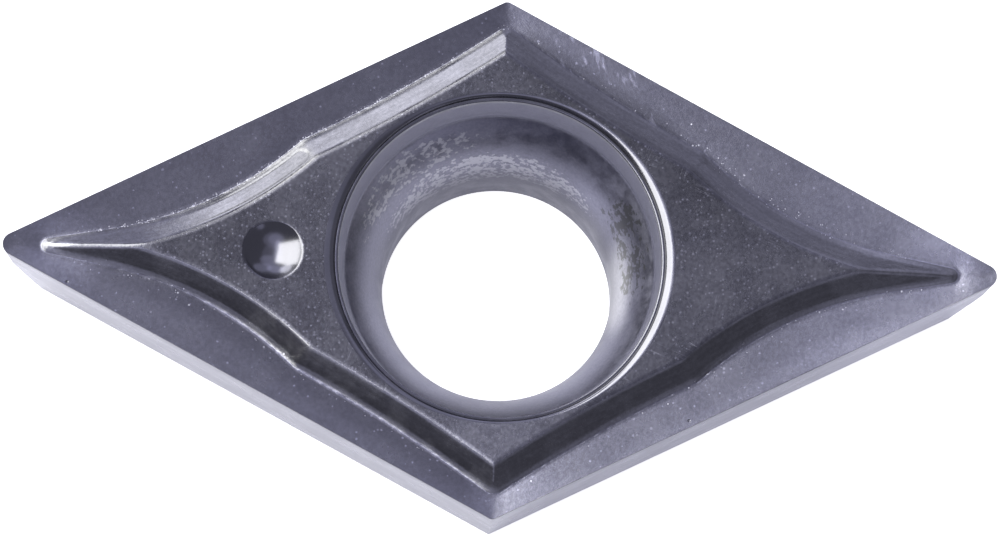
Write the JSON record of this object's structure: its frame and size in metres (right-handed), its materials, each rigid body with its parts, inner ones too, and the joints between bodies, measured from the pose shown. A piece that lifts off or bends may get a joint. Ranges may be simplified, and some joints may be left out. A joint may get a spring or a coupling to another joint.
{
  "type": "carbide insert",
  "caption": "Rhombic turning insert with a positive clearance, raised chip former banks, a countersunk screw hole and a round index dimple.",
  "frame": {"origin": "on the screw hole's axis at the flat seat face, which is also the middle of the footprint", "axes": "+Z along the screw hole from the seat face to the rake faces, +X along the long diagonal to a nose, +Y along the short diagonal to an obtuse corner"},
  "size_m": [0.02, 0.0106, 0.0042],
  "materials": {
    "coated_carbide": "satin"
  },
  "bodies": {
    "root": {"insert_body": "coated_carbide"}
  },
  "joints": []
}
